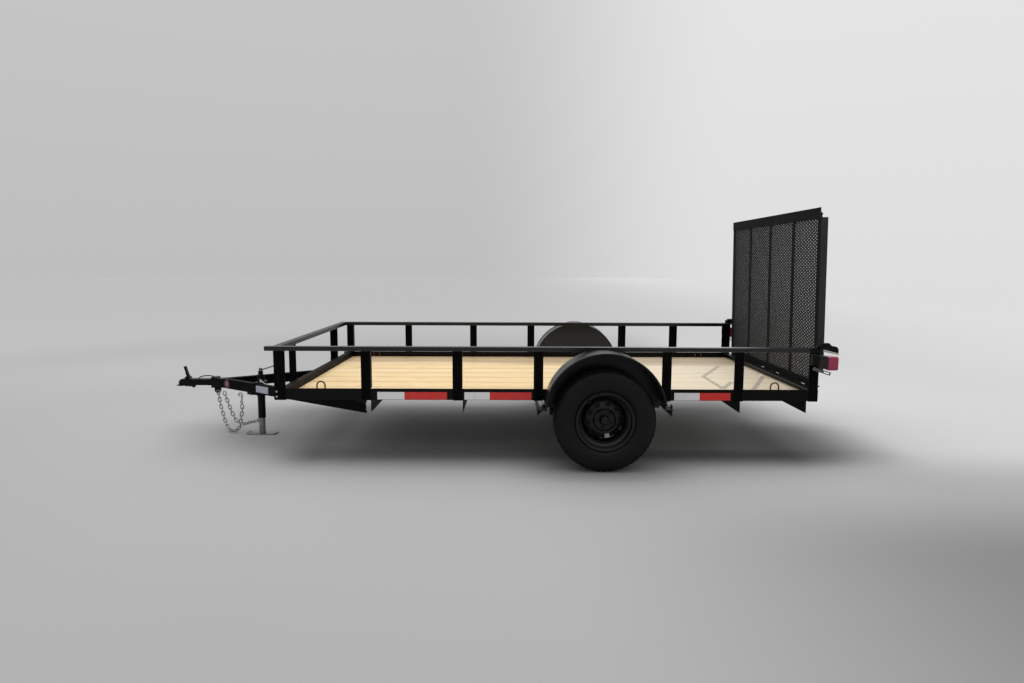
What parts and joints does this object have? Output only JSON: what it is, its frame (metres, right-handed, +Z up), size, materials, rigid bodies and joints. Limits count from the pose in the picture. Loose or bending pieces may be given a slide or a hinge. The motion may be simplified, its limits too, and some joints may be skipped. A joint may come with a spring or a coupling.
{
  "type": "utility trailer",
  "caption": "Open utility trailer: plank deck in an angle-steel frame with side rails, fenders, A-frame tongue, ball coupler, screw jack and a fold-down mesh ramp gate.",
  "frame": {"origin": "middle of the footprint, on the ground", "axes": "+X to the rear, +Y to the trailer's right-hand side, +Z up"},
  "size_m": [4.8415, 2.422, 1.7117],
  "materials": {
    "black_paint": "gloss",
    "wheel_paint": "semi-gloss",
    "deck_wood": "sawn",
    "tyre_rubber": "matt",
    "zinc_steel": "zinc plated",
    "bare_steel": "lightly rusted",
    "plate_foil": "semi-gloss",
    "red_lens": "gloss"
  },
  "bodies": {
    "chassis": {"left_side_rail": "black_paint", "right_side_rail": "black_paint", "front_cross_rail": "black_paint", "rear_cross_rail": "black_paint", "crossmembers": "black_paint", "deck_boards": "deck_wood", "left_top_rail": "black_paint", "right_top_rail": "black_paint", "front_top_rail": "black_paint", "left_posts": "black_paint", "right_posts": "black_paint", "front_posts": "black_paint", "left_tongue_beam": "black_paint", "right_tongue_beam": "black_paint", "coupler_bracket": "black_paint", "coupler": "black_paint", "coupler_latch": "black_paint", "jack_tube": "black_paint", "jack_crank": "black_paint", "jack_pull_pin": "zinc_steel", "tongue_strip": "black_paint", "tongue_spacers": "black_paint", "blank_plate": "plate_foil", "long_safety_chain": "zinc_steel", "short_safety_chain": "zinc_steel", "chain_hooks": "zinc_steel", "axle_tube": "black_paint", "left_leaf_spring": "black_paint", "right_leaf_spring": "black_paint", "spring_hangers": "black_paint", "axle_clamps": "black_paint", "left_fender": "black_paint", "right_fender": "black_paint", "fender_brackets": "black_paint", "fender_bolts": "zinc_steel", "frame_hinge_tubes": "black_paint", "tail_light_housings": "black_paint", "tail_light_lenses": "red_lens", "slotted_straps": "zinc_steel", "gate_latches": "black_paint", "latch_plates": "zinc_steel", "tie_down_loops": "bare_steel"},
    "jack_leg": {"jack_leg": "zinc_steel", "jack_foot": "black_paint"},
    "left_wheel": {"left_tyre": "tyre_rubber", "left_rim": "wheel_paint", "left_hub": "black_paint"},
    "right_wheel": {"right_tyre": "tyre_rubber", "right_rim": "wheel_paint", "right_hub": "black_paint"},
    "ramp_gate": {"gate_frame": "black_paint", "gate_bars": "black_paint", "gate_mesh": "black_paint", "gate_hinge_tubes": "black_paint"}
  },
  "joints": [
    {"name": "left_wheel_spin", "type": "hinge", "parent": "chassis", "child": "left_wheel", "pos_m": [0.876, -1.1, 0.3315], "axis": [0, 1, 0], "continuous": true},
    {"name": "right_wheel_spin", "type": "hinge", "parent": "chassis", "child": "right_wheel", "pos_m": [0.876, 1.1, 0.3315], "axis": [0, 1, 0], "continuous": true},
    {"name": "ramp_gate_hinge", "type": "hinge", "parent": "chassis", "child": "ramp_gate", "pos_m": [2.3275, 0, 0.49], "axis": [0, 1, 0], "range_deg": [0, 113.6]},
    {"name": "jack_screw", "type": "slide", "parent": "chassis", "child": "jack_leg", "axis": [0, 0, 1], "range_m": [0, 0.11]}
  ]
}
